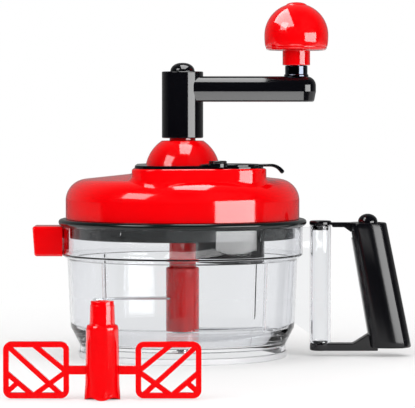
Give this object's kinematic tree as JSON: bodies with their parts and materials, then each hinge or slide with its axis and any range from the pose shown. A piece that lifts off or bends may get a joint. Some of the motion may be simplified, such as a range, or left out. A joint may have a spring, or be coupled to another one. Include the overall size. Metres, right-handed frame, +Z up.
{
  "type": "crank food chopper",
  "caption": "Hand cranked food chopper: clear bowl with side handle and covered spout, domed red lid with geared crank and curved blades, loose lattice mixing paddle.",
  "frame": {"origin": "on the bowl's axis, in the plane of the foot ring's underside", "axes": "+Z up along the bowl's axis; +X towards the carrying handle; -Y towards the viewer, where the loose paddle stands"},
  "size_m": [0.2518, 0.3486, 0.2353],
  "materials": {
    "clear_plastic": "clear moulded plastic, polished",
    "frosted_silicone": "soft frosted silicone",
    "red_plastic": "high gloss",
    "black_plastic": "high gloss",
    "charcoal_plastic": "gloss",
    "white_nylon": "natural nylon",
    "steel": "bright zinc plated",
    "blade_steel": "ground and brushed",
    "bronze": "sintered bronze",
    "dark_chrome": "dark chrome"
  },
  "bodies": {
    "root": {"bowl": "clear_plastic", "foot_ring": "frosted_silicone", "blade_pin": "steel", "handle_front_shell": "black_plastic", "handle_rear_shell": "black_plastic", "handle_screws": "steel", "handle_foot": "black_plastic", "lever_pin": "steel", "lever_spring": "steel"},
    "release_lever": {"release_lever": "black_plastic"},
    "spout_cover": {"spout_cover": "red_plastic"},
    "lid": {"lid_cover": "red_plastic", "lid_base": "charcoal_plastic", "feed_chute": "black_plastic", "top_plate": "black_plastic", "gear_dome": "red_plastic", "ring_gear": "white_nylon", "lid_screws": "steel", "input_bush": "bronze", "output_bush": "bronze", "cover_pivot": "black_plastic"},
    "feed_cover": {"feed_cover": "black_plastic"},
    "crank": {"crank_arm": "black_plastic", "crank_cap": "black_plastic", "crank_screw": "steel", "drive_carrier": "white_nylon", "planet_pins": "steel", "knob_post": "dark_chrome", "knob_screw": "steel"},
    "planet_1": {"planet_gear_1": "white_nylon"},
    "planet_2": {"planet_gear_2": "white_nylon"},
    "planet_3": {"planet_gear_3": "white_nylon"},
    "blade_drive": {"sun_shaft": "steel", "blade_hub": "red_plastic", "lower_blade": "blade_steel", "upper_blade": "blade_steel"},
    "knob": {"knob": "red_plastic", "knob_cap": "black_plastic"},
    "mixing_paddle": {"mixing_paddle": "red_plastic"}
  },
  "joints": [
    {"name": "lid_twist", "type": "hinge", "parent": "root", "child": "lid", "pos_m": [0, 0, 0.087], "axis": [0, 0, 1], "range_deg": [0, 24]},
    {"name": "crank_spin", "type": "hinge", "parent": "lid", "child": "crank", "pos_m": [0, 0, 0.167], "axis": [0, 0, 1], "continuous": true},
    {"name": "planet_1_spin", "type": "hinge", "parent": "crank", "child": "planet_1", "pos_m": [0.012, 0, 0.116], "axis": [0, 0, 1], "continuous": true},
    {"name": "planet_2_spin", "type": "hinge", "parent": "crank", "child": "planet_2", "pos_m": [-0.006, 0.01039, 0.116], "axis": [0, 0, 1], "continuous": true},
    {"name": "planet_3_spin", "type": "hinge", "parent": "crank", "child": "planet_3", "pos_m": [-0.006, -0.01039, 0.116], "axis": [0, 0, 1], "continuous": true},
    {"name": "blade_spin", "type": "hinge", "parent": "lid", "child": "blade_drive", "pos_m": [0, 0, 0.05], "axis": [0, 0, 1], "continuous": true},
    {"name": "knob_spin", "type": "hinge", "parent": "crank", "child": "knob", "pos_m": [0.0756, 0, 0.213], "axis": [0, 0, 1], "continuous": true},
    {"name": "cover_swing", "type": "hinge", "parent": "lid", "child": "feed_cover", "pos_m": [0.0232, -0.0575, 0.128], "axis": [0, 0, 1], "range_deg": [-118, 0]},
    {"name": "spout_cover_slide", "type": "slide", "parent": "root", "child": "spout_cover", "axis": [-1, 0, 0], "range_m": [0, 0.03]},
    {"name": "lever_press", "type": "hinge", "parent": "root", "child": "release_lever", "pos_m": [0.1146, 0, 0.0846], "axis": [0, 1, 0], "range_deg": [0, 10], "stiffness_Nm_per_rad": 0.6, "springref_deg": -5.73, "deforming": ["lever_spring"]},
    {"name": "paddle_lift", "type": "slide", "parent": "root", "child": "mixing_paddle", "axis": [0, 0, 1], "range_m": [0, 0.1]}
  ],
  "couplings": [
    {"joint": "planet_1_spin", "follows": "crank_spin", "ratio": -3},
    {"joint": "planet_2_spin", "follows": "crank_spin", "ratio": -3},
    {"joint": "planet_3_spin", "follows": "crank_spin", "ratio": -3},
    {"joint": "blade_spin", "follows": "crank_spin", "ratio": 4}
  ]
}
